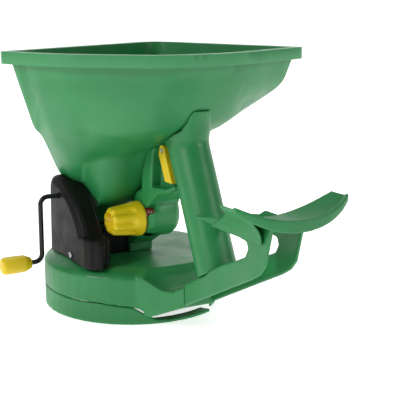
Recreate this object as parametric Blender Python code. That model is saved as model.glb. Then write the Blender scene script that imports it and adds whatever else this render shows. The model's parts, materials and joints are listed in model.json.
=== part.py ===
"""A hand-cranked garden spreader with a forearm rest, as an assembly of named solids.

Frame: +Z up, the floor under the guard ring is Z = 0, and the Z axis is the impeller's axis.
+X points away from the crank, and -Y points backwards, along the user's forearm.
Every length below is in millimetres and is scaled to metres when an object is made.
"""

import math

import bmesh
import bpy
from mathutils import Matrix, Vector

MM = 0.001
GAP = 0.3

# Base: guard ring, deck and tail.
RING_R = 85.0
RING_CENTRE = (0.0, 6.0)
RING_WALL = 3.0
RING_FROM, RING_TO = 82.0, 296.0
RING_FOOT = 2.6
# The seam between ring and deck, as (angle in degrees, height).
SEAM = ((-64.0, 9.5), (82.0, 15.0), (150.0, 19.0), (225.0, 18.0), (244.0, 15.0), (258.0, 9.5))
DECK_EDGE = 41.0
DECK_TOP = 49.0
DECK_WALL = 2.6
TAIL_Y = -116.0
HALF = 15.0

# Hopper: a square mouth turned against the handle, with its near corner cut off.
MOUTH_TURN = math.radians(24.0)
MOUTH_SIDES = (204.0, 172.0)
MOUTH_FAR = (50.0, 63.0)
RIM_TOP = 237.0
RIM_BAND = 10.0
RIM_LEDGE = 7.0
HOPPER_WALL = 2.5

# Outlet of the hopper, above the gate and the drop chute.
OUTLET = (-30.0, 32.0)
OUTLET_TOP = 88.0
OUTLET_LOW = 74.0
GATE_LOW = 71.4

# The middle of the whole object's plan, which becomes the origin.
FRAME_CENTRE = (-8.06, -85.5)

# Shafts, as (y, z): the crank, the lay shaft below it and the dial all run along X.
CRANK_AXIS = (14.0, 104.0)
CRANK_X = -90.0
CRANK_DROP = 59.0
LAY_AXIS = (0.0, 66.5)
BOSS_AXIS = (-36.0, 91.0)
DIAL_AXIS = (-36.0, 86.5)
ROD_R = 2.2

# Gears of module 1, so a pitch radius is half the tooth count.
CRANK_TEETH = 18
IDLER_TEETH = 27
LAY_TEETH = 12
BEVEL_TEETH = 18
PINION_TEETH = 10
GEAR_X = (-63.5, -58.5)

# Handle column: the lower and upper end of its leaning centre line, as (y, z).
COLUMN_LOW = (-150.0, 51.0)
COLUMN_HIGH = (-92.0, 172.0)
COLUMN_R = 17.0
# The collar under the hopper as (height, place along Y, radius), widening upwards.
COLLAR = ((148.0, -103.0, 16.0), (165.0, -98.0, 17.0), (178.0, -97.0, 19.5), (190.0, -97.0, 23.0))
TRIGGER_PIN = (-76.5, 153.0)

# Gear cover, and the plate that closes its back.
COVER_X = (-72.0, -54.2)
COVER_LOW = 48.0
COVER_POST = (-60.2, -46.0)
PLATE_X = (-53.9, -51.7)
SCREW = (-10.0, 53.8)

# Forearm rest: a trough with a raised rear lip, which narrows and rises towards both sides of the arm.
REST_HALF = 49.0
REST_FLOOR, REST_FLOOR_RISE = 122.0, 17.0
REST_LIP, REST_LIP_RISE = 128.5, 12.0
REST_FRONT, REST_FRONT_TAPER = -216.0, 13.0
REST_REAR, REST_REAR_TAPER = -262.0, 12.0
REST_SKIN = 2.4

GREEN = (0.055, 0.27, 0.095)
YELLOW = (0.68, 0.47, 0.01)
BLACK = (0.012, 0.013, 0.012)
STEEL = (0.55, 0.56, 0.58)
NYLON = (0.75, 0.74, 0.70)


def clear_scene():
    for obj in list(bpy.data.objects):
        bpy.data.objects.remove(obj, do_unlink=True)


def material(name, colour, roughness=0.4, metallic=0.0):
    """A Principled material, made once for each name."""
    if name in bpy.data.materials:
        return bpy.data.materials[name]
    made = bpy.data.materials.new(name)
    made.use_nodes = True
    shader = made.node_tree.nodes["Principled BSDF"]
    shader.inputs["Base Color"].default_value = (*colour, 1.0)
    shader.inputs["Roughness"].default_value = roughness
    shader.inputs["Metallic"].default_value = metallic
    return made


def add(name, bm, look, origin=(0.0, 0.0, 0.0)):
    """Turns a bmesh in millimetres into a named object whose origin is at a point, also in millimetres."""
    centre = Vector(origin)
    shift = Vector((*FRAME_CENTRE, 0.0))
    bmesh.ops.recalc_face_normals(bm, faces=bm.faces)
    bmesh.ops.translate(bm, verts=bm.verts, vec=-centre)
    bmesh.ops.scale(bm, verts=bm.verts, vec=(MM, MM, MM))
    mesh = bpy.data.meshes.new(name)
    bm.to_mesh(mesh)
    bm.free()
    mesh.materials.append(look)
    mesh.shade_smooth()
    mesh.set_sharp_from_angle(angle=math.radians(35.0))
    obj = bpy.data.objects.new(name, mesh)
    bpy.context.scene.collection.objects.link(obj)
    obj.location = (centre - shift) * MM
    return obj


def helper(name, bm):
    """A hidden solid for a Boolean."""
    obj = add(name, bm, material("helper", (0.5, 0.5, 0.5)))
    obj.hide_render = True
    obj.display_type = "WIRE"
    return obj


def boolean(obj, other, operation):
    modifier = obj.modifiers.new(f"{operation.lower()} {other.name}", "BOOLEAN")
    modifier.operation = operation
    modifier.solver = "EXACT"
    modifier.object = other


def join(obj, *others):
    for other in others:
        boolean(obj, other, "UNION")


def cut(obj, *others):
    for other in others:
        boolean(obj, other, "DIFFERENCE")


def loft(rings, closed=False, split=False):
    """A solid through rings of equal length: capped at both ends, or closed on itself like a bent tube.

    With split, every side face is two triangles, so two lofts of one shape bend the same way.
    """
    bm = bmesh.new()
    loops = [[bm.verts.new(point) for point in ring] for ring in rings]
    pairs = list(zip(loops, loops[1:]))
    if closed:
        pairs.append((loops[-1], loops[0]))
    for low, high in pairs:
        for i in range(len(low)):
            j = (i + 1) % len(low)
            if split:
                bm.faces.new((low[i], low[j], high[j]))
                bm.faces.new((low[i], high[j], high[i]))
            else:
                bm.faces.new((low[i], low[j], high[j], high[i]))
    if not closed:
        bm.faces.new(list(reversed(loops[0])))
        bm.faces.new(loops[-1])
    return bm


def swap(point, axis, level):
    """A 2-D point and a level as a 3-D point: the pair is (y, z), (x, z) or (x, y) for axis x, y or z."""
    a, b = point
    return {"x": (level, a, b), "y": (a, level, b), "z": (a, b, level)}[axis]


def prism(outline, axis, low, high):
    return loft([[swap(point, axis, level) for point in outline] for level in (low, high)])


def box(low, high):
    outline = [(low[0], low[1]), (high[0], low[1]), (high[0], high[1]), (low[0], high[1])]
    return prism(outline, "z", low[2], high[2])


def arc(centre, radius, start, end, steps):
    """Points on an arc, both ends included, with its angles in degrees."""
    points = []
    for i in range(steps + 1):
        angle = math.radians(start + (end - start) * i / steps)
        points.append((centre[0] + radius * math.cos(angle), centre[1] + radius * math.sin(angle)))
    return points


def circle(centre, radius, steps=24):
    return arc(centre, radius, 0.0, 360.0, steps)[:-1]


def turned(profile, axis, centre, steps=24):
    """A solid of revolution: profile is a list of (level, radius), with solid ends."""
    rings = []
    for level, radius in profile:
        rings.append([swap(point, axis, level) for point in circle(centre, radius, steps)])
    return loft(rings)


def tube(profile, axis, centre, steps=24):
    """A ring of revolution: profile is a closed list of (level, radius)."""
    rings = []
    for level, radius in profile:
        rings.append([swap(point, axis, level) for point in circle(centre, radius, steps)])
    return loft(rings, closed=True)


def sleeve(axis, centre, inner, outer, low, high, steps=24):
    return tube([(low, inner), (low, outer), (high, outer), (high, inner)], axis, centre, steps)


def rod(start, end, radius, steps=20):
    """A round bar between two points."""
    start, end = Vector(start), Vector(end)
    turn = (end - start).to_track_quat("Z", "Y").to_matrix()
    rings = []
    for point in (start, end):
        rings.append([point + turn @ Vector((x, y, 0.0)) for x, y in circle((0.0, 0.0), radius, steps)])
    return loft(rings)


def swept(points, radius, steps=10):
    """A round wire through points, with mitred bends."""
    points = [Vector(point) for point in points]
    turn = (points[1] - points[0]).to_track_quat("Z", "Y").to_matrix()
    ring = [turn @ Vector((x, y, 0.0)) for x, y in circle((0.0, 0.0), radius, steps)]
    rings = [[points[0] + offset for offset in ring]]
    for i in range(1, len(points)):
        before = (points[i] - points[i - 1]).normalized()
        after = before
        if i + 1 < len(points):
            after = (points[i + 1] - points[i]).normalized()
        normal = (before + after).normalized()
        ring = [offset - before * (offset.dot(normal) / before.dot(normal)) for offset in ring]
        rings.append([points[i] + offset for offset in ring])
    return loft(rings)


def gear_outline(teeth, centre, turn=0.0, depth=1.0):
    """A gear outline of module 1 with four points for each tooth."""
    pitch = teeth / 2.0
    points = []
    for tooth in range(teeth):
        for share, reach in ((-0.32, -1.0), (-0.14, 0.8), (0.14, 0.8), (0.32, -1.0)):
            angle = 2.0 * math.pi * (tooth + share + turn) / teeth
            radius = pitch + reach * depth
            points.append((centre[0] + radius * math.cos(angle), centre[1] + radius * math.sin(angle)))
    return points


# ---------------------------------------------------------------- hopper


def mouth_corners():
    """The mouth's corners, anticlockwise from the far corner, before any rounding."""
    along = Vector((math.cos(MOUTH_TURN), math.sin(MOUTH_TURN)))
    across = Vector((-along.y, along.x))
    far = Vector(MOUTH_FAR)
    left = far - along * MOUTH_SIDES[0]
    right = far - across * MOUTH_SIDES[1]
    cut_left = left - across * 62.0
    cut_right = right - along * 108.0
    near = (cut_left + cut_right) / 2.0 - (along * 0.4 + across).normalized() * 30.0
    return [far, left, cut_left, near, cut_right, right]


def corner_radii():
    return [46.0, 16.0, 50.0, 50.0, 56.0, 14.0]


def inset_outline(inset, steps=3):
    """The mouth outline moved inwards, with each corner rounded by a quadratic curve."""
    corners = mouth_corners()
    count = len(corners)
    moved = []
    for i in range(count):
        before = (corners[i] - corners[i - 1]).normalized()
        after = (corners[(i + 1) % count] - corners[i]).normalized()
        normal_a = Vector((-before.y, before.x))
        normal_b = Vector((-after.y, after.x))
        bisector = (normal_a + normal_b).normalized()
        moved.append(corners[i] + bisector * (inset / bisector.dot(normal_a)))
    points = []
    for i, radius in enumerate(corner_radii()):
        here = moved[i]
        back = (moved[i - 1] - here).normalized()
        ahead = (moved[(i + 1) % count] - here).normalized()
        reach = max(radius - inset * 0.5, 6.0) * 0.5
        start, end = here + back * reach, here + ahead * reach
        for k in range(steps + 1):
            t = k / steps
            points.append(start * (1 - t) ** 2 + here * (2 * t * (1 - t)) + end * t ** 2)
    return points


def throat_outline(steps=3):
    """The outlet outline, a rounded rectangle whose points pair with the mouth's corners."""
    centre = Vector(OUTLET)
    targets = [Vector(t) for t in ((13, 15), (-15, 15), (-15, -3), (-9, -14), (6, -14), (13, -9))]
    points = []
    for i, here in enumerate(targets):
        back = (targets[i - 1] - here).normalized() * 3.0
        ahead = (targets[(i + 1) % len(targets)] - here).normalized() * 3.0
        for k in range(steps + 1):
            t = k / steps
            start, end = here + back, here + ahead
            points.append(centre + start * (1 - t) ** 2 + here * (2 * t * (1 - t)) + end * t ** 2)
    return points


# For each mouth corner, the outer wall below the rim as (height, share of the way to the throat).
RIBS = [
    ((203.0, 0.05), (168.0, 0.30), (134.0, 0.60), (114.0, 0.78), (OUTLET_TOP, 1.0)),
    ((168.5, 0.32), (161.0, 0.45), (123.0, 0.73), (109.0, 0.93), (OUTLET_TOP, 1.0)),
    ((202.0, 0.07), (176.0, 0.24), (142.0, 0.56), (112.0, 0.86), (OUTLET_TOP, 1.0)),
    ((203.0, 0.05), (171.0, 0.17), (147.0, 0.57), (110.0, 0.66), (OUTLET_TOP, 1.0)),
    ((204.0, 0.04), (175.0, 0.14), (148.0, 0.55), (110.0, 0.68), (OUTLET_TOP, 1.0)),
    ((204.0, 0.05), (179.5, 0.26), (160.5, 0.43), (116.0, 0.80), (OUTLET_TOP, 1.0)),
]


def hopper_ring(level, shift=0.0, steps=3):
    """One ring of the hopper wall at a rib level, moved inwards by shift."""
    mouth = inset_outline(RIM_LEDGE, steps)
    throat = throat_outline(steps)
    per_corner = steps + 1
    ring = []
    for i, (top, bottom) in enumerate(zip(mouth, throat)):
        height, share = RIBS[i // per_corner][level]
        ring.append(top.lerp(bottom, share).to_3d() + Vector((0.0, 0.0, height)))
    return move_inwards(ring, shift)


def move_inwards(ring, shift):
    count = len(ring)
    moved = []
    for i in range(count):
        along = ring[(i + 1) % count] - ring[i - 1]
        normal = Vector((-along.y, along.x, 0.0)).normalized()
        moved.append(ring[i] + normal * shift)
    return moved


def flat_ring(inset, height, steps=3):
    return [point.to_3d() + Vector((0.0, 0.0, height)) for point in inset_outline(inset, steps)]


def wall_rings(shift):
    rings = [move_inwards(flat_ring(RIM_LEDGE, RIM_TOP - RIM_BAND), shift)]
    rings += [hopper_ring(level, shift) for level in range(5)]
    drop = Vector((0.0, 0.0, OUTLET_LOW - OUTLET_TOP))
    rings.append([point + drop for point in rings[-1]])
    return rings


def make_hopper(look):
    outer = wall_rings(0.0)
    inner = wall_rings(HOPPER_WALL)
    low = RIM_TOP - RIM_BAND
    skin = 2.2
    rings = list(reversed(inner[1:]))
    rings.append(flat_ring(RIM_LEDGE + HOPPER_WALL, low))
    rings.append(flat_ring(RIM_LEDGE + HOPPER_WALL, RIM_TOP - 1.5))
    rings.append(flat_ring(RIM_LEDGE + 1.0, RIM_TOP))
    rings.append(flat_ring(1.5, RIM_TOP))
    rings.append(flat_ring(0.0, RIM_TOP - 1.5))
    rings.append(flat_ring(0.0, low))
    rings.append(flat_ring(skin, low))
    rings.append(flat_ring(skin, RIM_TOP - skin - 0.4))
    rings.append(flat_ring(RIM_LEDGE, RIM_TOP - skin - 0.4))
    rings += outer[1:]
    hopper = add("hopper", loft(rings, closed=True, split=True), look)
    y, z = CRANK_AXIS
    cut(hopper, helper("hopper_shaft_bore", rod((-80.0, y, z), (-20.0, y, z), ROD_R + 0.8)))


def hopper_core():
    """The hopper's outside as a filled solid, grown by a clearance."""
    return loft(wall_rings(-0.8), split=True)


# ---------------------------------------------------------------- handle


def along_column(offset, height):
    """A (y, z) point beside the column's centre line: offset is forwards, at a height on the line."""
    low, high = Vector(COLUMN_LOW), Vector(COLUMN_HIGH)
    direction = (high - low).normalized()
    forward = Vector((direction.y, -direction.x))
    return low + direction * ((height - low.y) / direction.y) + forward * offset


def column(radius):
    low, high = COLUMN_LOW, COLUMN_HIGH
    return rod((0.0, *low), (0.0, *high), radius, 28)


def foot_line(shift):
    """Everything below the sloping line that the column stands on, moved up by shift."""
    front, rear, drop = -100.0, -190.0, -20.0
    level = 37.8 + shift
    outline = [(front, level), (rear, level + (front - rear) / 2.0), (rear, drop), (front, drop)]
    return prism(outline, "x", -30.0, 30.0)


def make_handle(look):
    """The handle: arch against the hopper, recess for the trigger, dial boss and leaning grip column."""
    block = [(-37, 100), (-41, 135), (-47, 160), (-96, 190), (-104, 190), (-104, 165), (-104, 140)]
    block += [(-99, 122), (-86, 117), (-68, 113), (-56, 105), (-50, 96)]
    handle = add("handle_frame", prism(block, "x", -HALF, HALF), look)
    boss = [(-15.0, 19.4), (-11.0, 22.0), (10.0, 22.0), (15.0, 18.5)]
    web = [(-55, 81), (-12.4, 57), (-12.4, 80), (-36, 92)]
    collar = [[(x, y, z) for x, y in circle((0.0, back), radius, 28)] for z, back, radius in COLLAR]
    join(
        handle,
        helper("grip_column", column(COLUMN_R)),
        helper("grip_collar", loft(collar)),
        helper("dial_boss", turned(boss, "x", BOSS_AXIS, 32)),
        helper("boss_web", prism(web, "x", -14.4, 9.0)),
    )
    pocket = [(-57, 118), (-61, 149), (-66, 158), (-82, 161), along_column(10.5, 160)]
    pocket += [along_column(10.5, 131), (-94, 124.5), (-84, 121)]
    window = box((-15.0, -3.9, 12.0), (-7.6, 3.9, 26.0))
    turn = Matrix.Rotation(math.radians(58.0), 3, "X")
    bmesh.ops.transform(window, verts=window.verts, matrix=turn.to_4x4())
    bmesh.ops.translate(window, verts=window.verts, vec=(0.0, *DIAL_AXIS))
    cut(
        handle,
        helper("trigger_pocket", prism(pocket, "x", -HALF - 3.0, -4.5)),
        helper("hopper_clearance", hopper_core()),
        helper("handle_foot_line", foot_line(0.0)),
        helper("dial_bore", rod((-16.0, *DIAL_AXIS), (9.0, *DIAL_AXIS), 4.0)),
        helper("drum_bore", rod((-16.0, *DIAL_AXIS), (-6.0, *DIAL_AXIS), 13.7, 32)),
        helper("dial_window", window),
        helper("pin_bore", rod((-16.0, *TRIGGER_PIN), (-1.0, *TRIGGER_PIN), 2.3)),
        helper("link_slot", box((-16.5, -58.0, GATE_LOW - 1.2), (-3.0, -12.0, GATE_LOW + 3.2))),
    )


def make_trigger(look, steel):
    """The flow trigger hangs in front of the column on a cross pin."""
    outline = [along_column(18.0, 134.7), along_column(29.0, 139.5), along_column(29.5, 162.0)]
    outline += arc(TRIGGER_PIN, 4.8, 10, 150, 5)
    outline.append(along_column(18.0, 156.0))
    trigger = add("trigger", prism(outline, "x", -14.2, -7.6), look, (0.0, *TRIGGER_PIN))
    cut(trigger, helper("trigger_bore", rod((-20.0, *TRIGGER_PIN), (0.0, *TRIGGER_PIN), 2.3)))
    pin = rod((-14.6, *TRIGGER_PIN), (-1.4, *TRIGGER_PIN), 2.0)
    add("trigger_pin", pin, steel, (0.0, *TRIGGER_PIN))
    coil = []
    y, z = TRIGGER_PIN
    for i in range(25):
        angle = math.radians(45.0 * i)
        coil.append((-7.0 + 1.9 * i / 24, y + 3.2 * math.cos(angle), z + 3.2 * math.sin(angle)))
    add("trigger_spring", swept(coil, 0.28, 5), steel)


def make_dial(yellow, red, steel):
    """The flow dial: knob, shaft and the numbered drum seen through the window."""
    origin = (0.0, *DIAL_AXIS)
    profile = [(-46.0, 10.2), (-43.5, 12.4), (-24.0, 14.6), (-19.0, 15.6), (-16.6, 15.6), (-15.4, 14.8)]
    knob = add("dial_knob", turned(profile, "x", DIAL_AXIS, 24), yellow, origin)
    cut(knob, helper("knob_recess", turned([(-48.0, 9.0), (-38.0, 4.5)], "x", DIAL_AXIS)))
    cut(knob, helper("knob_bore", rod((-33.0, *DIAL_AXIS), (-10.0, *DIAL_AXIS), 3.9)))
    add("dial_shaft", rod((-32.7, *DIAL_AXIS), (8.6, *DIAL_AXIS), 3.5), steel, origin)
    add("dial_drum", sleeve("x", DIAL_AXIS, 3.8, 13.4, -15.0, -6.4), red, origin)


# ---------------------------------------------------------------- base


def seam_height(angle):
    """Height of the seam between ring and deck at an angle in degrees."""
    for (low, start), (high, end) in zip(SEAM, SEAM[1:]):
        if angle <= high:
            return start + (end - start) * max(0.0, angle - low) / (high - low)
    return SEAM[-1][1]


def deck_outline(inset):
    radius = RING_R - inset
    points = arc(RING_CENTRE, radius, -64.0, 244.0, 40)
    for side in (-1.0, 1.0):
        points.append((side * (HALF + GAP - inset * 0.8), TAIL_Y + inset))
    return points


def swept_round(section_at, start, end, steps=32):
    """A solid swept round the ring's centre: section_at(angle) is a list of (radius, height)."""
    rings = []
    for i in range(steps + 1):
        angle = start + (end - start) * i / steps
        x, y = math.cos(math.radians(angle)), math.sin(math.radians(angle))
        section = section_at(angle)
        rings.append([(RING_CENTRE[0] + x * r, RING_CENTRE[1] + y * r, z) for r, z in section])
    return loft(rings)


def below_seam(angle):
    """The space under the deck's wall, where the guard ring stands."""
    top = seam_height(angle) + GAP
    low, inner, outer = -5.0, RING_R - 12.0, RING_R + 5.0
    return [(outer, low), (outer, top), (inner, top), (inner, low)]


def deck_shoulder(lift):
    """The deck's upper rings, from the top of the wall over the rounded shoulder."""
    levels = ((0.0, DECK_EDGE), (3.0, DECK_EDGE + 3.4), (13.0, DECK_TOP))
    return [[(x, y, z + lift) for x, y in deck_outline(inset)] for inset, z in levels]


def deck_core():
    """The deck's upper side as a filled solid, grown by a clearance."""
    return loft([[(x, y, 20.0) for x, y in deck_outline(0.0)]] + deck_shoulder(GAP))


def make_deck(look):
    skirt = [(x, y, SEAM[0][1] + GAP) for x, y in deck_outline(0.0)]
    deck = add("base_deck", loft([skirt] + deck_shoulder(0.0)), look)
    levels = [(DECK_WALL, 5.0), (DECK_WALL, DECK_EDGE)]
    levels += [(DECK_WALL + 3.0, DECK_EDGE + 1.2), (15.0, DECK_TOP - DECK_WALL)]
    inner = [[(x, y, z) for x, y in deck_outline(inset)] for inset, z in levels]
    hollow = helper("deck_hollow", loft(inner))
    cut(hollow, helper("deck_tail_filling", box((-40.0, -130.0, 30.0), (40.0, -72.0, 60.0))))
    dip = [(-70, DECK_TOP + 1), (-76, 43), (-94, 36), (-106, 37), (-116.5, 44), (-117, 60), (-70, 60)]
    throw = arc(RING_CENTRE, RING_R + 10.0, -40.0, 78.0, 8)
    throw += arc(RING_CENTRE, RING_R - 12.0, 78.0, -40.0, 8)
    x, y = OUTLET
    cut(
        deck,
        hollow,
        helper("deck_drop_hole", box((x - 13.0, y - 14.0, 30.0), (x + 11.0, y + 15.0, 60.0))),
        helper("deck_spindle_hole", rod((0.0, 0.0, 30.0), (0.0, 0.0, 60.0), 6.3)),
        helper("deck_tail_line", prism([(-80, 8), (-120, 26.8), (-120, 0), (-80, 0)], "x", -40, 40)),
        helper("deck_tail_dip", prism(dip, "x", -40.0, 40.0)),
        helper("deck_throw_opening", prism(throw, "z", 0.0, 29.0)),
        helper("deck_seam", swept_round(below_seam, -70.0, 252.0)),
    )


def guard_section(angle):
    """An L section, whose wall fades out where the seed flies out."""
    fade = min(max((angle - 244.0) / 14.0, 0.0), 1.0)
    top = seam_height(angle) * (1.0 - fade) + (RING_FOOT + 0.4) * fade
    wall = RING_R - RING_WALL
    flange = RING_R - 11.0
    section = [(RING_R, 0.0), (RING_R, top), (wall, top)]
    section += [(wall, RING_FOOT), (flange, RING_FOOT), (flange, 0.0)]
    return section


def make_guard(look):
    """The ring that the spreader stands on."""
    add("guard_ring", swept_round(guard_section, RING_FROM, RING_TO), look)


def make_bracket(look):
    """Two side plates with a window each, joined by a sloping web that the column stands on."""
    plate = [(-116.4, 26.4), (-218, 75.5), (-229, 82), (-236, 90), (-247, 129.1), (-209, 129.1)]
    plate += [(-185, 116), (-134, 108), (-150, 62), (-138, 56.4), (-116.4, 45.6)]
    bracket = add("bracket", prism(plate, "x", -HALF, HALF), look)
    inside = [(-110, 20), (-116.0, 43.3), (-176, 73.3), (-176, 140), (-260, 140), (-260, 0), (-110, 0)]
    window = [(-120, 105.5), (-186, 106), (-211, 103), (-213, 98), (-209, 91), (-198, 86)]
    window += [(-176, 77), (-150, 64), (-120, 64)]
    above = [(-100, 37.4), (-173.6, 74.2), (-173.6, 140), (-100, 140)]
    space = helper("column_clearance", column(COLUMN_R + 0.4))
    cut(space, helper("bracket_foot_line", foot_line(-0.4)))
    cut(
        bracket,
        helper("bracket_hollow", prism(inside, "x", -HALF + 2.5, HALF - 2.5)),
        helper("bracket_top", prism(above, "x", -HALF + 2.5, HALF - 2.5)),
        helper("bracket_window", prism(window, "x", -20.0, 20.0)),
        helper("bracket_rest_clearance", below_rest()),
        space,
    )


def rest_floor(x):
    return REST_FLOOR + REST_FLOOR_RISE * (x / REST_HALF) ** 2


def rest_section(x):
    """The trough's (y, z) section at a distance from its middle."""
    share = abs(x) / REST_HALF
    floor = rest_floor(x)
    lip = REST_LIP + REST_LIP_RISE * share ** 2
    low = lip - 9.5 + 4.0 * share ** 2
    front = REST_FRONT - REST_FRONT_TAPER * share ** 2
    rear = REST_REAR + REST_REAR_TAPER * share ** 3
    section = [(rear, low), (rear, lip - 1.0), (rear + 1.0, lip), (rear + 2.4, lip), (rear + 5.0, floor)]
    section += [(front, floor), (front, floor - REST_SKIN)]
    section += [(rear + 4.2, floor - REST_SKIN), (rear + 2.2, low)]
    return section


def make_arm_rest(look):
    """A trough for the forearm, with a gusset on each side down to the bracket."""
    steps = 24
    rings = []
    for i in range(steps + 1):
        x = REST_HALF * (2.0 * i / steps - 1.0)
        rings.append([(x, y, z) for y, z in rest_section(x)])
    rest = add("arm_rest", loft(rings), look)
    for name, side, root_front in (("rest_flare_left", -1.0, -162.0), ("rest_flare_right", 1.0, -200.0)):
        join(rest, helper(name, flare(side, root_front)))


def flare(side, root_front):
    """A curved gusset that spreads from the bracket's side up to the underside of a wing."""
    low, reach, wall = 106.0, 28.0, 2.2
    rings = []
    for step in (0.0, 0.2, 0.4, 0.6, 0.8, 1.0):
        x = HALF + GAP + reach * step ** 1.7
        z = low + (rest_floor(HALF + reach) - 1.0 - low) * step ** 0.9
        front = root_front + (-228.0 - root_front) * step
        rear = -234.0 - 10.0 * step
        rings.append([(side * x, front, z), (side * x, rear, z),
                      (side * (x + wall), rear, z - 0.5), (side * (x + wall), front, z - 0.5)])
    return loft(rings)


def below_rest():
    """The space over the bracket that the trough takes, with a clearance."""
    rings = []
    for x in (-20.0, -15.0, -10.0, -5.0, 0.0, 5.0, 10.0, 15.0, 20.0):
        low = rest_floor(x) - REST_SKIN - GAP
        rings.append([(x, -300.0, low), (x, -150.0, low), (x, -150.0, 160.0), (x, -300.0, 160.0)])
    return loft(rings)


# ---------------------------------------------------------------- drive


def gear(name, teeth, turn, bore, levels, axis, centre, look, origin, depth=1.0):
    """A spur gear with a bore, as one closed ring of four loops."""
    outline = gear_outline(teeth, centre, turn, depth)
    inner = [(centre[0] + bore * math.cos(a), centre[1] + bore * math.sin(a))
             for a in (math.atan2(q[1] - centre[1], q[0] - centre[0]) for q in outline)]
    low, high = levels
    rings = []
    for points, level in ((inner, low), (outline, low), (outline, high), (inner, high)):
        rings.append([swap(point, axis, level) for point in points])
    add(name, loft(rings, closed=True), look, origin)


def bevel(name, teeth, axis, centre, bore, wide, narrow, hub, look, origin):
    """A bevel gear: wide and narrow are (level, tip radius), and hub is a plain collar behind."""
    def teeth_ring(level, radius):
        points = []
        for i in range(teeth * 4):
            reach = 0.0 if i % 4 in (1, 2) else -0.9 * radius / wide[1]
            angle = 2.0 * math.pi * (i + 0.5) / (teeth * 4)
            points.append((centre[0] + (radius + reach) * math.cos(angle),
                           centre[1] + (radius + reach) * math.sin(angle)))
        return [swap(point, axis, level) for point in points]

    def round_ring(level, radius):
        return [swap(point, axis, level) for point in circle(centre, radius, teeth * 4)]

    level, radius = hub
    rings = [round_ring(level, bore), round_ring(level, radius), round_ring(wide[0], radius)]
    rings += [teeth_ring(*wide), teeth_ring(*narrow), round_ring(narrow[0], bore)]
    add(name, loft(rings, closed=True), look, origin)


def idler_axis():
    """Where the idler sits so that it meshes with the crank gear and the lay gear."""
    first, last = Vector(CRANK_AXIS), Vector(LAY_AXIS)
    reach_a = (CRANK_TEETH + IDLER_TEETH) / 2.0
    reach_b = (IDLER_TEETH + LAY_TEETH) / 2.0
    along = last - first
    length = along.length
    foot = (reach_a ** 2 - reach_b ** 2 + length ** 2) / (2.0 * length)
    side = math.sqrt(reach_a ** 2 - foot ** 2)
    unit = along / length
    return tuple(first + unit * foot + Vector((unit.y, -unit.x)) * side)


def mesh_turn(teeth_a, turn_a, centre_a, teeth_b, centre_b):
    """The turn of gear b, in teeth, that puts its gap on gear a's tooth along their line of centres."""
    line = math.atan2(centre_b[1] - centre_a[1], centre_b[0] - centre_a[0]) / (2.0 * math.pi)
    phase = teeth_a * line - turn_a
    return teeth_b * (line + 0.5) - (0.5 - phase)


def make_gears(nylon, steel):
    idler = idler_axis()
    crank_origin = (0.0, *CRANK_AXIS)
    lay_origin = (0.0, *LAY_AXIS)
    idler_turn = mesh_turn(CRANK_TEETH, 0.0, CRANK_AXIS, IDLER_TEETH, idler)
    lay_turn = mesh_turn(IDLER_TEETH, idler_turn, idler, LAY_TEETH, LAY_AXIS)
    gear("crank_gear", CRANK_TEETH, 0.0, ROD_R + 0.3, GEAR_X, "x", CRANK_AXIS, nylon, crank_origin)
    gear("idler_gear", IDLER_TEETH, idler_turn, 2.3, GEAR_X, "x", idler, nylon, (0.0, *idler))
    gear("lay_gear", LAY_TEETH, lay_turn, 2.3, GEAR_X, "x", LAY_AXIS, nylon, lay_origin)
    add("idler_pin", rod((-69.4, *idler), (-50.5, *idler), 2.0), steel, (0.0, *idler))
    shaft = [(-69.4, 2.0), (-9.0, 2.0), (-9.0, 1.5), (-2.6, 1.5)]
    add("lay_shaft", turned(shaft, "x", LAY_AXIS, 16), steel, lay_origin)
    bevel("lay_bevel", BEVEL_TEETH, "x", LAY_AXIS, 1.8, (-5.0, 8.6), (-3.0, 5.0), (-8.6, 5.0),
          nylon, lay_origin)
    top = LAY_AXIS[1]
    bevel("spindle_pinion", PINION_TEETH, "z", (0.0, 0.0), 1.8, (top - 9.0, 5.2), (top - 5.4, 3.2),
          (top - 13.0, 4.2), nylon, (0.0, 0.0, 0.0))


def make_spindle(nylon, steel):
    top = LAY_AXIS[1]
    shaft = [(2.0, 2.5), (top - 13.4, 2.5), (top - 13.4, 1.5), (top - 5.0, 1.5)]
    add("spindle", turned(shaft, "z", (0.0, 0.0), 16), steel)
    add("spindle_bush", sleeve("z", (0.0, 0.0), 2.8, 6.0, 43.0, 53.0), nylon)


def make_impeller(look, steel):
    """A disc with curved-back vanes, clamped on the spindle by a nut from below."""
    disc = sleeve("z", (0.0, 0.0), 2.8, 60.0, 9.0, 11.0, 40)
    impeller = add("impeller", disc, look)
    parts = [helper("impeller_hub", sleeve("z", (0.0, 0.0), 2.8, 8.0, 9.5, 26.0, 40))]
    for i in range(6):
        vane = box((7.0, -1.0, 10.5), (58.0, 1.0, 24.0))
        bmesh.ops.rotate(vane, verts=vane.verts, matrix=Matrix.Rotation(math.tau * i / 6, 3, "Z"))
        parts.append(helper(f"impeller_vane_{i + 1}", vane))
    join(impeller, *parts)
    hexagon = circle((0.0, 0.0), 5.5, 6)
    nut = add("impeller_nut", prism(hexagon, "z", 4.6, 8.7), steel)
    cut(nut, helper("nut_bore", rod((0.0, 0.0, 0.0), (0.0, 0.0, 12.0), 2.8)))


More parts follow.
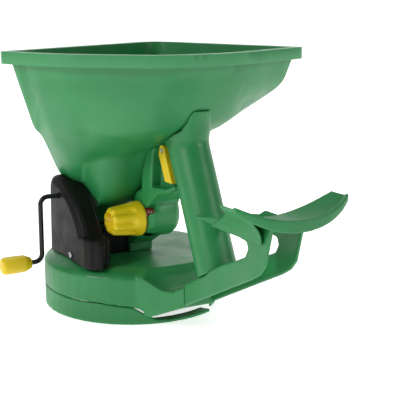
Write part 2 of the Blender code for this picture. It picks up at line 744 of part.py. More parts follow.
def make_crank(steel, yellow, black):
    """The bent crank rod runs through the gears into the hopper, where it carries the agitator."""
    y, z = CRANK_AXIS
    low = z - CRANK_DROP
    origin = (0.0, y, z)
    path = [(-24.0, y, z), (CRANK_X + 4.0, y, z), (CRANK_X + 1.2, y, z - 1.2), (CRANK_X, y, z - 4.0)]
    path += [(CRANK_X, y, low + 4.0), (CRANK_X - 1.2, y, low + 1.2), (CRANK_X - 4.0, y, low)]
    path += [(-131.0, y, low)]
    add("crank_rod", swept(path, ROD_R, 12), black, origin)
    knob = [(-101.0, 5.6), (-104.0, 7.6), (-108.0, 8.0), (-131.5, 8.0), (-133.5, 7.0)]
    grip = add("crank_knob", turned(list(reversed(knob)), "x", (y, low), 24), yellow, (0.0, y, low))
    cut(grip, helper("crank_knob_bore", rod((-90.0, y, low), (-131.4, y, low), ROD_R + 0.3)))
    paddle = sleeve("x", (y, z), ROD_R + 0.3, 4.2, -34.0, -24.5, 16)
    agitator = add("agitator", paddle, steel, origin)
    for i, side in enumerate((1.0, -1.0)):
        finger = rod((-29.0, y, z + side * 3.4), (-29.0, y, z + side * 6.5), 1.5, 12)
        join(agitator, helper(f"agitator_finger_{i + 1}", finger))


# ---------------------------------------------------------------- housings


def cover_outline(inset):
    """The fan-shaped side of the gear cover as (y, z), moved inwards."""
    low = COVER_LOW
    points = [(-48 + inset, low), (-48 + inset, 74)]
    centre = (40.0, 44.0)
    radius = 78.0 - inset
    points += [(centre[0] + p * 1.06, centre[1] + q) for p, q in arc((0.0, 0.0), radius, 156, 100, 8)]
    points += arc((30.0 - inset * 0.6, 106.0), 14.0 - inset * 0.6, 70, 0, 4)
    points += [(44 - inset, low)]
    return points


def make_cover(look, steel):
    """The black gear cover: a shell with a chamfered face, open at the back."""
    front, back = COVER_X
    floor = COVER_LOW
    shape = []
    for inset, x in ((8.0, front), (2.0, front + 3.0), (0.0, front + 7.0), (0.0, back)):
        shape.append([(x, y, max(z, floor)) for y, z in cover_outline(inset)])
    inner = []
    for inset, x in ((10.0, front + 2.2), (4.2, front + 5.0), (2.3, front + 8.0), (2.3, back + 2.0)):
        inner.append([(x, y, z if z > floor + 1.0 else 30.0) for y, z in cover_outline(inset)])
    cover = add("gear_cover", loft(shape), look)
    cut(
        cover,
        helper("cover_hollow", loft(inner)),
        helper("cover_shaft_bore", rod((-80.0, *CRANK_AXIS), (-60.0, *CRANK_AXIS), ROD_R + 0.4)),
        helper("cover_hopper_clearance", hopper_core()),
        helper("cover_screw_hole", rod((front - 1.0, *SCREW), (front + 4.0, *SCREW), 1.8, 12)),
    )
    post = turned([(COVER_LOW, 5.5), (70.0, 5.5), (74.0, 4.0)], "z", COVER_POST, 16)
    join(cover, helper("cover_post", post))
    cut(cover, helper("cover_deck_clearance", deck_core()))
    level = front - GAP
    head = [(level - 1.6, 1.4), (level - 0.8, 3.0), (level, 3.0), (level, 1.4), (PLATE_X[1] + 1.0, 1.4)]
    add("cover_screw", turned(head, "x", SCREW, 12), steel, (0.0, *SCREW))


def make_back_plate(look):
    """The plate behind the gears, with the tunnel that carries the lay shaft to the tower."""
    low, high = PLATE_X
    floor = DECK_TOP + GAP
    outline = cover_outline(0.0)
    plate = add("gear_back_plate", prism(outline, "x", low, high), look)
    tunnel = box((high - 1.0, -9.0, floor), (-14.6, 9.0, GATE_LOW - 0.4))
    post = turned([(floor, 5.0), (66.0, 5.0), (70.0, 3.6)], "z", (-46.5, -27.5), 16)
    wing = box((high - 1.0, -30.0, floor), (-44.0, -9.0, 64.0))
    join(plate, helper("plate_tunnel", tunnel), helper("plate_wing", wing), helper("plate_post", post))
    cut(
        plate,
        helper("plate_crank_bore", rod((-60.0, *CRANK_AXIS), (-50.0, *CRANK_AXIS), ROD_R + 0.4)),
        helper("plate_lay_bore", rod((-60.0, *LAY_AXIS), (-50.0, *LAY_AXIS), 2.3)),
        helper("plate_hopper_clearance", hopper_core()),
        helper("plate_deck_clearance", deck_core()),
        helper("plate_screw_bore", rod((-60.0, *SCREW), (-50.0, *SCREW), 1.8, 12)),
        helper("plate_idler_bore", rod((-60.0, *idler_axis()), (-50.0, *idler_axis()), 2.3)),
        helper("tunnel_hollow", box((high, -7.0, 30.0), (-10.0, 7.0, GATE_LOW - 1.6))),
    )


def make_tower(look):
    """The gear tower under the handle: a hollow post round the bevel gears."""
    tower = add("gear_tower", box((-14.2, -12.0, DECK_TOP + GAP), (9.0, 12.0, 82.0)), look)
    cut(
        tower,
        helper("tower_hollow", box((-12.0, -10.2, 40.0), (7.0, 10.2, 80.0))),
        helper("tower_bore", rod((-20.0, *LAY_AXIS), (-8.0, *LAY_AXIS), 2.4)),
    )


def make_chute(look):
    """The drop chute from the gate down to the deck."""
    x, y = OUTLET
    outer = box((x - 16.0, y - 15.0, DECK_TOP + GAP), (x + 14.0, y + 17.0, 70.8))
    chute = add("drop_chute", outer, look)
    cut(chute, helper("chute_hollow", box((x - 13.6, y - 12.6, 40.0), (x + 11.6, y + 14.6, 80.0))))


def make_gate(look, steel):
    """The shutter slides backwards under the outlet, and its link runs into the handle."""
    x, y = OUTLET
    add("gate", box((x - 15.5, y - 14.5, GATE_LOW), (x + 13.5, y + 17.0, GATE_LOW + 2.0)), look)
    link_x, level = -19.5, GATE_LOW + 1.0
    path = [(link_x, y - 14.9, level), (link_x, -9.0, level), (link_x + 0.5, -12.0, level)]
    path += [(link_x + 5.5, -14.5, level), (link_x + 11.5, -18.0, level)]
    add("gate_link", swept(path, 0.9, 8), steel)


def main():
    clear_scene()
    green = material("green_plastic", GREEN, 0.38)
    yellow = material("yellow_plastic", YELLOW, 0.4)
    black = material("black_plastic", BLACK, 0.35)
    red = material("red_plastic", (0.5, 0.02, 0.02), 0.45)
    steel = material("steel", STEEL, 0.3, 1.0)
    rod_black = material("black_steel", BLACK, 0.3, 0.6)
    nylon = material("white_nylon", NYLON, 0.5)
    make_hopper(green)
    make_handle(green)
    make_trigger(yellow, steel)
    make_dial(yellow, red, steel)
    make_deck(green)
    make_guard(green)
    make_bracket(green)
    make_arm_rest(green)
    make_gears(nylon, steel)
    make_spindle(nylon, steel)
    make_impeller(black, steel)
    make_crank(steel, yellow, rod_black)
    make_cover(black, steel)
    make_back_plate(black)
    make_tower(green)
    make_chute(green)
    make_gate(black, steel)


main()
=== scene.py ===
"""Looks of the hand-cranked garden spreader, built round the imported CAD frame.

Lengths in the constants below are millimetres and are scaled to metres by MM.
Places come from the frame: boxes of the nodes and positions of the joints.
"""

import json
import math

import bmesh
import bpy
from mathutils import Matrix, Vector


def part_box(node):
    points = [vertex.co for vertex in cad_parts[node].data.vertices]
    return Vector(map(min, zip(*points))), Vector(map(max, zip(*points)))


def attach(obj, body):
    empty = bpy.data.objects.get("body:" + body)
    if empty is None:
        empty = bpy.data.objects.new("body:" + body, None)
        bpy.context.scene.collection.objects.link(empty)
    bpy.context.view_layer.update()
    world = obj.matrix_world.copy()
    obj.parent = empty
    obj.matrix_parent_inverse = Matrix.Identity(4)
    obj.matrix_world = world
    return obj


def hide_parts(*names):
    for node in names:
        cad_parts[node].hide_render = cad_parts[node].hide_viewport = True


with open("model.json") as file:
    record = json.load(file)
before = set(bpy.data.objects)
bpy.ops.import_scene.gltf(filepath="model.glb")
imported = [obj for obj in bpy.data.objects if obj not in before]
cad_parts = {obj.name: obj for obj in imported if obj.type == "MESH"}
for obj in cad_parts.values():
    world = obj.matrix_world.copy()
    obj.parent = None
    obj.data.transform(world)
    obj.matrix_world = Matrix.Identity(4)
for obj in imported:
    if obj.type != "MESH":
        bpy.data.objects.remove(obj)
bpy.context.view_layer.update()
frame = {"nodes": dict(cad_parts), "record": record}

MM = 0.001
AXIS_X = Vector((1.0, 0.0, 0.0))

# Camera: it stands to the left of the front and a little above the object.
CAMERA_PLACE = Vector((-396.4, -731.7, 288.0)) * MM
CAMERA_AZIMUTH = math.radians(-30.0)
CAMERA_PITCH = math.radians(12.0)
CAMERA_LENS = 90.0
SENSOR_WIDTH = 36.0

# Colours are linear. The _EDGE colours are painted highlights on convex edges, and they also tint the fine
# flecks.
GREEN = (0.024, 0.256, 0.074)
GREEN_DEEP = (0.017, 0.208, 0.057)
GREEN_EDGE = (0.10, 0.40, 0.17)
YELLOW = (0.86, 0.64, 0.006)
YELLOW_DEEP = (0.76, 0.52, 0.005)
YELLOW_EDGE = (0.85, 0.68, 0.08)
BLACK = (0.006, 0.006, 0.0055)
BLACK_DEEP = (0.004, 0.0042, 0.004)
BLACK_EDGE = (0.022, 0.022, 0.021)
RED = (0.45, 0.018, 0.012)
RED_DEEP = (0.33, 0.012, 0.010)
RED_EDGE = (0.6, 0.1, 0.08)
WHITE = (0.85, 0.85, 0.82)
WHITE_DEEP = (0.75, 0.75, 0.72)
NYLON = (0.70, 0.68, 0.62)
NYLON_DEEP = (0.58, 0.56, 0.50)
STEEL = (0.56, 0.57, 0.58)
STEEL_DEEP = (0.40, 0.41, 0.43)
STEEL_EDGE = (0.8, 0.8, 0.8)
COATING_EDGE = (0.16, 0.16, 0.16)
FLOOR = (0.93, 0.93, 0.93)
FLOOR_DEEP = (0.90, 0.90, 0.90)

# Light: watts for the lamps, and strengths for the floor's own glow and the surroundings.
KEY_POWER = 21.0
SIDE_POWER = 6.0
TOP_POWER = 10.0
FLOOR_GLOW = 0.72
WORLD_STRENGTH = 0.12


# ---------------------------------------------------------------- materials


def node_at(tree, kind, **values):
    """A new shader node, with its inputs set by name."""
    node = tree.nodes.new(kind)
    for name, value in values.items():
        node.inputs[name.replace("_", " ")].default_value = value
    return node


def noise(tree, coordinates, scale, detail=3.0, roughness=0.55):
    node = node_at(tree, "ShaderNodeTexNoise", Scale=scale, Detail=detail, Roughness=roughness)
    tree.links.new(coordinates, node.inputs["Vector"])
    return node.outputs["Fac"]


def spread(tree, value, low, high, start=0.35, end=0.65):
    """Maps a noise value to a range."""
    node = tree.nodes.new("ShaderNodeMapRange")
    for name, number in (("From Min", start), ("From Max", end), ("To Min", low), ("To Max", high)):
        node.inputs[name].default_value = number
    tree.links.new(value, node.inputs["Value"])
    return node.outputs["Result"]


def blend_colours(tree, share, first, second):
    """Mixes two colours, each a tuple or the output of another node."""
    node = tree.nodes.new("ShaderNodeMix")
    node.data_type = "RGBA"
    tree.links.new(share, node.inputs[0])
    for socket, colour in ((node.inputs[6], first), (node.inputs[7], second)):
        if isinstance(colour, tuple):
            socket.default_value = (*colour, 1.0)
        else:
            tree.links.new(colour, socket)
    return node.outputs[2]


def surface(name, colour, deep, edge, gloss, grain,
            metallic=0.0, mottle=14.0, flow=(1.0, 1.0, 1.0), shine=0.5):
    """A moulded or drawn surface: cloudy colour, a painted highlight that lightens convex edges, uneven gloss
    and a fine grain.

    gloss is (lowest, highest) roughness, grain is (size in mm, bump height in mm), flow stretches
    the pattern along an axis, and shine is the strength of the reflections.
    """
    material = bpy.data.materials.new(name)
    material.use_nodes = True
    tree = material.node_tree
    shader = tree.nodes["Principled BSDF"]
    place = tree.nodes.new("ShaderNodeTexCoord").outputs["Object"]
    stretch = tree.nodes.new("ShaderNodeMapping")
    stretch.inputs["Scale"].default_value = flow
    tree.links.new(place, stretch.inputs["Vector"])
    place = stretch.outputs["Vector"]
    cloud = spread(tree, noise(tree, place, mottle), 0.0, 1.0)
    base = blend_colours(tree, cloud, colour, deep)
    specks = spread(tree, noise(tree, place, 420.0, 2.0), 0.0, 0.08, 0.55, 0.75)
    base = blend_colours(tree, specks, base, edge)
    # Painted highlight: convex edges, found by pointiness, are mixed towards the lighter edge colour.
    highlight_pointiness = tree.nodes.new("ShaderNodeNewGeometry").outputs["Pointiness"]
    rim = spread(tree, highlight_pointiness, 0.0, 0.45, 0.53, 0.64)
    base = blend_colours(tree, rim, base, edge)
    tree.links.new(base, shader.inputs["Base Color"])
    smears = noise(tree, place, 38.0, 4.0)
    tree.links.new(spread(tree, smears, *gloss), shader.inputs["Roughness"])
    size, height = grain
    bump = tree.nodes.new("ShaderNodeBump")
    bump.inputs["Strength"].default_value = 0.6
    bump.inputs["Distance"].default_value = height * MM
    tree.links.new(noise(tree, place, 1.0 / (size * MM), 4.0), bump.inputs["Height"])
    tree.links.new(bump.outputs["Normal"], shader.inputs["Normal"])
    shader.inputs["Metallic"].default_value = metallic
    shader.inputs["Specular IOR Level"].default_value = shine
    return material


def make_materials():
    """One material for each of the record's slots, and one for the printed numeral."""
    return {
        "green_plastic": surface(
            "green moulded plastic", GREEN, GREEN_DEEP, GREEN_EDGE,
            gloss=(0.34, 0.50), grain=(0.9, 0.05)),
        "yellow_plastic": surface(
            "yellow moulded plastic", YELLOW, YELLOW_DEEP, YELLOW_EDGE,
            gloss=(0.33, 0.46), grain=(0.8, 0.05)),
        "black_plastic": surface(
            "black textured plastic", BLACK, BLACK_DEEP, BLACK_EDGE,
            gloss=(0.42, 0.58), grain=(0.6, 0.09), shine=0.2),
        "red_plastic": surface(
            "red dial plastic", RED, RED_DEEP, RED_EDGE,
            gloss=(0.35, 0.5), grain=(0.7, 0.04)),
        "steel": surface(
            "zinc plated steel", STEEL, STEEL_DEEP, STEEL_EDGE,
            gloss=(0.22, 0.4), grain=(0.3, 0.02), metallic=0.8, mottle=120.0, flow=(0.3, 1.0, 1.0)),
        "black_steel": surface(
            "black coated steel", BLACK_DEEP, BLACK, COATING_EDGE,
            gloss=(0.18, 0.34), grain=(0.5, 0.03), metallic=0.2, mottle=60.0),
        "white_nylon": surface(
            "natural nylon", NYLON, NYLON_DEEP, WHITE,
            gloss=(0.4, 0.55), grain=(0.8, 0.04)),
        "print": surface(
            "white dial print", WHITE, WHITE_DEEP, WHITE,
            gloss=(0.4, 0.5), grain=(0.4, 0.02)),
    }


def paint(obj, look):
    obj.data.materials.clear()
    obj.data.materials.append(look)


# ---------------------------------------------------------------- mesh helpers


def new_object(name, bm, look):
    """A smooth-shaded object from a bmesh in metres."""
    bmesh.ops.recalc_face_normals(bm, faces=bm.faces)
    mesh = bpy.data.meshes.new(name)
    bm.to_mesh(mesh)
    bm.free()
    mesh.shade_smooth()
    mesh.set_sharp_from_angle(angle=math.radians(50.0))
    obj = bpy.data.objects.new(name, mesh)
    bpy.context.scene.collection.objects.link(obj)
    paint(obj, look)
    return obj


def skin(rings, capped=True):
    """A skin through rings of equal length, closed by flat ends unless it is to stay open."""
    bm = bmesh.new()
    loops = [[bm.verts.new(point) for point in ring] for ring in rings]
    for low, high in zip(loops, loops[1:]):
        for i in range(len(low)):
            j = (i + 1) % len(low)
            bm.faces.new((low[i], low[j], high[j], high[i]))
    if capped:
        bm.faces.new(list(reversed(loops[0])))
        bm.faces.new(loops[-1])
    return bm


def rounded(profile, radius, steps=4):
    """A profile of (level, radius) points with each inner corner rounded."""
    points = [Vector(point) for point in profile]
    result = [points[0]]
    for before, here, after in zip(points, points[1:], points[2:]):
        reach_in = min(radius, (before - here).length * 0.45)
        reach_out = min(radius, (after - here).length * 0.45)
        start = here + (before - here).normalized() * reach_in
        end = here + (after - here).normalized() * reach_out
        for k in range(steps + 1):
            t = k / steps
            result.append(start * (1 - t) ** 2 + here * (2 * t * (1 - t)) + end * t ** 2)
    result.append(points[-1])
    return result


def turned_about_x(profile, centre, steps=96, flute=None):
    """Rings round an axis along X: flute(level, angle) takes a share off the radius."""
    rings = []
    for level, radius in profile:
        ring = []
        for i in range(steps):
            angle = math.tau * i / steps
            share = 1.0 - flute(level, angle) if flute else 1.0
            ring.append(Vector((level, centre[0] + radius * share * math.cos(angle),
                                centre[1] + radius * share * math.sin(angle))) * MM)
        rings.append(ring)
    return rings


def apply_cut(obj, cutter):
    """Cuts one object from another for good, and removes the cutter."""
    modifier = obj.modifiers.new("cut", "BOOLEAN")
    modifier.operation = "DIFFERENCE"
    modifier.solver = "EXACT"
    modifier.object = cutter
    graph = bpy.context.evaluated_depsgraph_get()
    mesh = bpy.data.meshes.new_from_object(obj.evaluated_get(graph))
    obj.modifiers.clear()
    obj.data = mesh
    mesh.shade_smooth()
    mesh.set_sharp_from_angle(angle=math.radians(40.0))
    bpy.data.objects.remove(cutter, do_unlink=True)


def moulded(name, voxel, passes):
    """Rounds the edges of a CAD node as a mould would, by a fine remesh that is then smoothed."""
    node = frame["nodes"][name]
    remesh = node.modifiers.new("moulding", "REMESH")
    remesh.mode = "VOXEL"
    remesh.voxel_size = voxel * MM
    remesh.use_smooth_shade = True
    smooth = node.modifiers.new("soft edges", "SMOOTH")
    smooth.factor = 0.5
    smooth.iterations = passes


def joint_place(name):
    """The place of a joint, in millimetres."""
    for joint in frame["record"]["behaviour"]["joints"]:
        if joint["name"] == name:
            return Vector(joint["pos_m"]) / MM
    raise ValueError(name)


def box_mm(name):
    low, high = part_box(name)
    return Vector(low) / MM, Vector(high) / MM


# ---------------------------------------------------------------- hopper

# Hopper places are kept in its own plan, where the frame's origin lies at this point.
PART_CENTRE = Vector((-8.06, -85.5, 0.0))
MOUTH_TURN = math.radians(24.0)
MOUTH_SIDES = (204.0, 172.0)
MOUTH_FAR = (50.0, 63.0)
MOUTH_CUTS = (62.0, 108.0)
MOUTH_BELLY = 30.0
CORNER_RADII = (46.0, 16.0, 50.0, 50.0, 56.0, 14.0)
RIM_TOP = 237.0
RIM_BAND = 10.0
RIM_LEDGE = 7.0
RIM_SKIN = 2.2
RIM_EASE = 0.1
OUTLET = (-30.0, 32.0)
OUTLET_TOP = 80.0
OUTLET_LOW = 74.0
OUTLET_CORNERS = ((13, 15), (-15, 15), (-15, -3), (-9, -14), (6, -14), (13, -9))

# The crank shaft runs along X through the funnel, at this (y, z), in a round hole.
SHAFT = (14.0, 104.0)
SHAFT_BORE = 3.0
SHAFT_BORE_ENDS = (-72.0, -12.0)

# For each mouth corner, the outer wall as (height, share of the way to the outlet).
RIBS = (
    ((203.0, 0.05), (168.0, 0.30), (134.0, 0.60), (114.0, 0.78)),
    ((168.5, 0.32), (161.0, 0.45), (123.0, 0.73), (109.0, 0.93)),
    ((202.0, 0.07), (176.0, 0.24), (142.0, 0.56), (112.0, 0.86)),
    ((203.0, 0.05), (171.0, 0.17), (147.0, 0.57), (101.0, 0.72)),
    ((204.0, 0.04), (175.0, 0.14), (148.0, 0.55), (101.0, 0.74)),
    ((204.0, 0.05), (179.5, 0.26), (160.5, 0.43), (116.0, 0.80)),
)
# A rib's share of the way, as a distance, and the fillet where its slope changes.
RIB_REACH = 90.0
RIB_FILLET = 8.0
CORNER_STEPS = 8
SIDE_STEPS = 5


def mouth_corners():
    """The mouth's corners, anticlockwise from the far one: a turned rectangle with its near corner cut."""
    along = Vector((math.cos(MOUTH_TURN), math.sin(MOUTH_TURN)))
    across = Vector((-along.y, along.x))
    far = Vector(MOUTH_FAR)
    left = far - along * MOUTH_SIDES[0]
    right = far - across * MOUTH_SIDES[1]
    cut_left = left - across * MOUTH_CUTS[0]
    cut_right = right - along * MOUTH_CUTS[1]
    near = (cut_left + cut_right) / 2.0 - (along * 0.4 + across).normalized() * MOUTH_BELLY
    return [far, left, cut_left, near, cut_right, right]


def moved_inwards(corners, inset):
    count = len(corners)
    moved = []
    for i in range(count):
        before = (corners[i] - corners[i - 1]).normalized()
        after = (corners[(i + 1) % count] - corners[i]).normalized()
        normal = Vector((-before.y, before.x))
        bisector = (normal + Vector((-after.y, after.x))).normalized()
        moved.append(corners[i] + bisector * (inset / bisector.dot(normal)))
    return moved


def round_outline(corners, reaches):
    """An outline with rounded corners, and points along the straight sides between them."""
    count = len(corners)
    arcs = []
    for i, here in enumerate(corners):
        start = here + (corners[i - 1] - here).normalized() * reaches[i]
        end = here + (corners[(i + 1) % count] - here).normalized() * reaches[i]
        curve = []
        for k in range(CORNER_STEPS + 1):
            t = k / CORNER_STEPS
            curve.append(start * (1 - t) ** 2 + here * (2 * t * (1 - t)) + end * t ** 2)
        arcs.append(curve)
    points = []
    for i, curve in enumerate(arcs):
        points += curve
        following = arcs[(i + 1) % count][0]
        for k in range(1, SIDE_STEPS):
            points.append(curve[-1].lerp(following, k / SIDE_STEPS))
    return points


def mouth_outline(inset):
    reaches = [max(radius - inset * 0.5, 6.0) * 0.5 for radius in CORNER_RADII]
    return round_outline(moved_inwards(mouth_corners(), inset), reaches)


def outlet_outline():
    corners = [Vector(OUTLET) + Vector(corner) for corner in OUTLET_CORNERS]
    return round_outline(corners, [3.0] * len(corners))


def rib_line(corner):
    """The softened (height, share) line of one corner, from the rim down to the outlet."""
    line = [(RIM_TOP - RIM_BAND, 0.0), *RIBS[corner], (OUTLET_TOP, 1.0), (OUTLET_LOW, 1.0)]
    drawn = [(height, share * RIB_REACH) for height, share in line]
    return [Vector((height, reach / RIB_REACH)) for height, reach in rounded(drawn, RIB_FILLET, 5)]


def rib_at(index, lines):
    """The rib line at a point of the outline: a corner's own, or blended along a side."""
    per_corner = CORNER_STEPS + SIDE_STEPS
    corner, step = divmod(index, per_corner)
    share = max(0.0, (step - CORNER_STEPS) / SIDE_STEPS)
    following = lines[(corner + 1) % len(lines)]
    return [here.lerp(there, share) for here, there in zip(lines[corner], following)]


def in_frame(outline, height):
    """A ring of the hopper's own plan at a height, placed in the frame and in metres."""
    return [(point.to_3d() + Vector((0.0, 0.0, height)) - PART_CENTRE) * MM for point in outline]


def funnel_rings():
    """The funnel from the outlet up to the underside of the rim's ledge."""
    lines = [rib_line(corner) for corner in range(len(RIBS))]
    top = mouth_outline(RIM_LEDGE)
    bottom = outlet_outline()
    columns = [rib_at(i, lines) for i in range(len(top))]
    rings = []
    for level in reversed(range(len(lines[0]))):
        ring = []
        for upper, lower, column in zip(top, bottom, columns):
            height, share = column[level]
            ring += in_frame([upper.lerp(lower, share)], height)
        rings.append(ring)
    return rings


def rim_rings():
    """The rim's ledge, and the band that folds down from it."""
    under = RIM_TOP - RIM_SKIN - RIM_EASE
    profile = ((RIM_LEDGE, under), (RIM_SKIN, under), (RIM_SKIN, RIM_TOP - RIM_BAND))
    return [in_frame(mouth_outline(inset), height) for inset, height in profile]


def make_hopper(look):
    """The hopper as one moulded skin: funnel, corner, and a rim that folds outwards and down."""
    hopper = new_object("hopper_shell", skin(funnel_rings() + rim_rings(), capped=False), look)
    wall = hopper.modifiers.new("wall", "SOLIDIFY")
    wall.thickness = RIM_SKIN * MM
    wall.use_even_offset = True
    wall.offset = 1.0
    edges = hopper.modifiers.new("soft edges", "BEVEL")
    edges.width = 0.8 * MM
    edges.segments = 3
    edges.angle_limit = math.radians(40.0)
    bore = [(level, SHAFT_BORE) for level in SHAFT_BORE_ENDS]
    centre = (SHAFT[0] - PART_CENTRE.y, SHAFT[1])
    apply_cut(hopper, new_object("shaft_bore", skin(turned_about_x(bore, centre, 32)), look))
    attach(hopper, "frame")
    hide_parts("hopper")


# ---------------------------------------------------------------- pieces


# The dial's flutes: how many, how deep as a share of the radius, and where along it they fade out.
FLUTES = 8
FLUTE_DEPTH = 0.17
FLUTE_END = 0.74
FLUTE_FADE = 0.16

# The crank grip is a little shorter than its CAD node, and the rod, whose arm hangs at ARM_X, ends inside it.
GRIP_INSET = 5.0
ROD_INSET = 8.0
ROD_BEND = 7.0
ROD_BEND_STEPS = 8
ARM_X = -81.94

# The numeral on the dial drum: its angle from upright, its height, and how far it is sunk.
NUMERAL_TURN = math.radians(58.0)
NUMERAL_SIZE = 6.0
NUMERAL_DEPTH = 0.3
NUMERAL_SUNK = 0.12


def make_dial_grip(look):
    """The fluted flow dial, with a conical hole in its end and a round skirt by the boss."""
    low, high = box_mm("dial_knob")
    centre = joint_place("dial_turn").yz
    start, end = low.x, high.x
    length = end - start
    skirt = (high.z - low.z) / 2.0
    outer = [(end, skirt - 0.9), (end - 1.2, skirt), (end - 4.0, skirt), (end - 9.0, skirt - 1.0)]
    outer += [(start + 2.6, skirt - 3.2), (start, skirt - 5.6)]
    hole = [(start, skirt - 6.8), (start + 7.4, 5.0), (start + 8.0, 4.4)]
    profile = rounded([(end, 4.2)] + outer + hole, 1.0)
    fine = []
    for (level, radius), (next_level, next_radius) in zip(profile, profile[1:]):
        for k in range(6):
            t = k / 6.0
            fine.append((level + (next_level - level) * t, radius + (next_radius - radius) * t))
    fine.append(tuple(profile[-1]))

    def flute(level, angle):
        along = (level - start) / length
        fade = min(max((FLUTE_END - along) / FLUTE_FADE, 0.0), 1.0)
        wave = (0.5 + 0.5 * math.cos(FLUTES * angle)) ** 1.4
        return FLUTE_DEPTH * wave * fade * fade * (3.0 - 2.0 * fade)

    rings = []
    for level, radius in fine:
        # The hole in the end stays round.
        cut = flute if radius > skirt - 6.4 else None
        rings += turned_about_x([(level, radius)], centre, 144, cut)
    grip = new_object("dial_grip", skin(rings), look)
    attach(grip, "dial")
    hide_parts("dial_knob")


def make_crank_grip(look):
    """The turning knob of the crank: a slim barrel with chamfered ends."""
    low, high = box_mm("crank_knob")
    centre = joint_place("grip_spin").yz
    radius = (high.z - low.z) / 2.0
    end = low.x + GRIP_INSET
    profile = [(end, radius * 0.3), (end, radius - 1.6), (end + 2.4, radius - 0.1), (end + 12.0, radius)]
    profile += [(high.x - 6.0, radius - 0.3), (high.x - 2.0, radius - 2.4)]
    profile += [(high.x, radius - 3.0), (high.x, 2.6), (high.x - 3.0, 2.6)]
    grip = new_object("crank_grip", skin(turned_about_x(rounded(profile, 1.4), centre, 96)), look)
    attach(grip, "grip")
    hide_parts("crank_knob")


def rod_path():
    """The crank rod's centre line: along the hub, down the arm and out along the grip."""
    low, high = box_mm("crank_rod")
    hub = joint_place("crank_spin")
    grip_z = joint_place("grip_spin").z
    bends = (
        (ARM_X + ROD_BEND, hub.z - ROD_BEND, 90.0, 180.0),
        (ARM_X - ROD_BEND, grip_z + ROD_BEND, 0.0, -90.0),
    )
    points = [(high.x, hub.z)]
    for x, z, first, last in bends:
        for k in range(ROD_BEND_STEPS + 1):
            angle = math.radians(first + (last - first) * k / ROD_BEND_STEPS)
            points.append((x + ROD_BEND * math.cos(angle), z + ROD_BEND * math.sin(angle)))
    points.append((low.x + ROD_INSET, grip_z))
    return [Vector((x, hub.y, z)) for x, z in points]


def make_crank_rod(look):
    """The bent crank rod as one wire with round bends."""
    low, high = box_mm("crank_rod")
    radius = (high.y - low.y) / 2.0
    path = rod_path()
    side = Vector((0.0, 1.0, 0.0))
    rings = []
    for i, point in enumerate(path):
        before = path[max(i - 1, 0)]
        after = path[min(i + 1, len(path) - 1)]
        up = (after - before).normalized().cross(side)
        ring = []
        for k in range(24):
            angle = math.tau * k / 24
            ring.append((point + (side * math.cos(angle) + up * math.sin(angle)) * radius) * MM)
        rings.append(ring)
    rod = new_object("crank_arm", skin(rings), look)
    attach(rod, "crank")
    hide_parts("crank_rod")


def make_screw(look):
    """The cover screw: a domed head with a cross recess."""
    low, high = box_mm("cover_screw")
    centre = Vector(((low.y + high.y) / 2.0, (low.z + high.z) / 2.0))
    radius = (high.z - low.z) / 2.0
    profile = [(high.x, 1.3), (low.x + 1.7, 1.3), (low.x + 1.6, radius), (low.x + 0.9, radius - 0.1)]
    profile += [(low.x + 0.3, radius * 0.62), (low.x, radius * 0.2)]
    screw = new_object("cover_screw_head", skin(turned_about_x(rounded(profile, 0.4), centre, 48)), look)
    for width, height in ((3.4, 0.7), (0.7, 3.4)):
        slot = bmesh.new()
        bmesh.ops.create_cube(slot, size=1.0)
        bmesh.ops.scale(slot, verts=slot.verts, vec=Vector((1.6, width, height)) * MM)
        bmesh.ops.translate(slot, verts=slot.verts, vec=Vector((low.x, centre.x, centre.y)) * MM)
        apply_cut(screw, new_object("screw_recess", slot, look))
    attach(screw, "frame")
    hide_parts("cover_screw")


def make_numeral(look):
    """The dial number that shows in the window beside the dial."""
    low, high = box_mm("dial_drum")
    centre = joint_place("dial_turn")
    radius = (high.z - low.z) / 2.0
    out = Vector((0.0, -math.sin(NUMERAL_TURN), math.cos(NUMERAL_TURN)))
    text = bpy.data.curves.new("dial_numeral", "FONT")
    text.body = "2"
    text.size = NUMERAL_SIZE * MM
    text.align_x = "CENTER"
    text.align_y = "CENTER"
    text.extrude = NUMERAL_DEPTH / 2.0 * MM
    numeral = bpy.data.objects.new("dial_numeral", text)
    bpy.context.scene.collection.objects.link(numeral)
    basis = Matrix((AXIS_X.cross(out), AXIS_X, out)).transposed()
    place = Vector(((low.x + high.x) / 2.0 - 0.4, centre.y, centre.z)) + out * (radius - NUMERAL_SUNK)
    numeral.matrix_world = Matrix.Translation(place * MM) @ basis.to_4x4()
    text.materials.append(look)
    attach(numeral, "dial")


# ---------------------------------------------------------------- stage


def make_floor():
    """A wide pale floor that curves up far behind the object."""
    bm = bmesh.new()
    width, depth, rise, bend = 8.0, 3.0, 5.0, 1.5
    outline = [(-3.0, 0.0), (depth, 0.0)]
    for k in range(1, 13):
        angle = math.radians(90.0 * k / 12.0)
        outline.append((depth + bend * math.sin(angle), bend - bend * math.cos(angle)))
    outline.append((depth + bend, rise))
    turn = Matrix.Rotation(CAMERA_AZIMUTH, 3, "Z")
    rows = []
    for y, z in outline:
        rows.append([bm.verts.new(turn @ Vector((x, y, z))) for x in (-width, width)])
    for first, second in zip(rows, rows[1:]):
        bm.faces.new((first[0], first[1], second[1], second[0]))
    look = surface("pale studio floor", FLOOR, FLOOR_DEEP, FLOOR, (0.5, 0.7), (4.0, 0.02), mottle=1.5)
    glow = look.node_tree.nodes["Principled BSDF"].inputs
    glow["Emission Color"].default_value = (1.0, 1.0, 1.0, 1.0)
    glow["Emission Strength"].default_value = FLOOR_GLOW
    floor = new_object("studio_floor", bm, look)


def area_light(name, place, target, size, power):
    data = bpy.data.lights.new(name, "AREA")
    data.shape = "DISK"
    data.size = size
    data.energy = power
    light = bpy.data.objects.new(name, data)
    light.location = place
    light.rotation_euler = (Vector(target) - Vector(place)).to_track_quat("-Z", "Y").to_euler()
    bpy.context.scene.collection.objects.link(light)


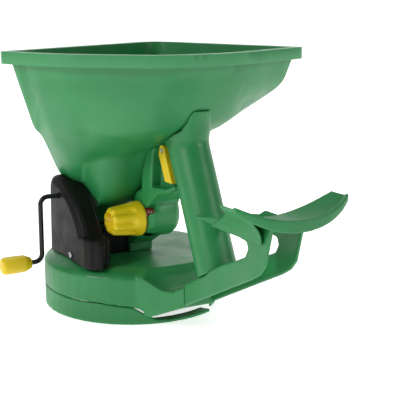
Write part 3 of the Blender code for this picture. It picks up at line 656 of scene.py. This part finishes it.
def make_lights():
    middle = (0.0, 0.0, 0.12)
    turn = Matrix.Rotation(CAMERA_AZIMUTH, 3, "Z")
    area_light("key", turn @ Vector((-1.6, -1.2, 1.3)), middle, 0.6, KEY_POWER)
    area_light("side", turn @ Vector((1.5, -0.7, 0.9)), middle, 0.3, SIDE_POWER)
    area_light("top", turn @ Vector((0.1, 0.5, 2.0)), middle, 1.2, TOP_POWER)
    world = bpy.data.worlds.new("studio")
    world.use_nodes = True
    background = world.node_tree.nodes["Background"]
    background.inputs["Color"].default_value = (1.0, 1.0, 1.0, 1.0)
    background.inputs["Strength"].default_value = WORLD_STRENGTH
    bpy.context.scene.world = world


def make_camera():
    data = bpy.data.cameras.new("camera")
    data.lens = CAMERA_LENS
    data.sensor_width = SENSOR_WIDTH
    camera = bpy.data.objects.new("camera", data)
    camera.location = CAMERA_PLACE
    level = math.cos(CAMERA_PITCH)
    ahead = Matrix.Rotation(CAMERA_AZIMUTH, 3, "Z") @ Vector((0.0, level, -math.sin(CAMERA_PITCH)))
    camera.rotation_euler = ahead.to_track_quat("-Z", "Y").to_euler()
    bpy.context.scene.collection.objects.link(camera)
    bpy.context.scene.camera = camera


# ---------------------------------------------------------------- assembly

# CAD nodes that get moulded edges, as (voxel size, smoothing passes).
MOULDED = {
    "handle_frame": (0.8, 6),
    "base_deck": (1.0, 6),
    "guard_ring": (0.8, 4),
    "bracket": (0.8, 6),
    "arm_rest": (0.7, 6),
    "gear_cover": (0.7, 6),
    "gear_back_plate": (0.7, 3),
    "gear_tower": (0.7, 3),
    "drop_chute": (0.7, 3),
    "trigger": (0.35, 4),
    "impeller": (0.7, 3),
}


def paint_nodes(looks):
    """Every CAD node takes the look of its slot in the record."""
    for part in frame["record"]["subparts"]:
        paint(frame["nodes"][part["node"]], looks[part["material_slot"]])


def main():
    looks = make_materials()
    paint_nodes(looks)
    for name, (voxel, passes) in MOULDED.items():
        moulded(name, voxel, passes)
    make_hopper(looks["green_plastic"])
    make_dial_grip(looks["yellow_plastic"])
    make_crank_grip(looks["yellow_plastic"])
    make_crank_rod(looks["black_steel"])
    make_screw(looks["steel"])
    make_numeral(looks["print"])
    make_floor()
    make_lights()
    make_camera()
    bpy.context.scene.view_settings.view_transform = "Standard"


main()
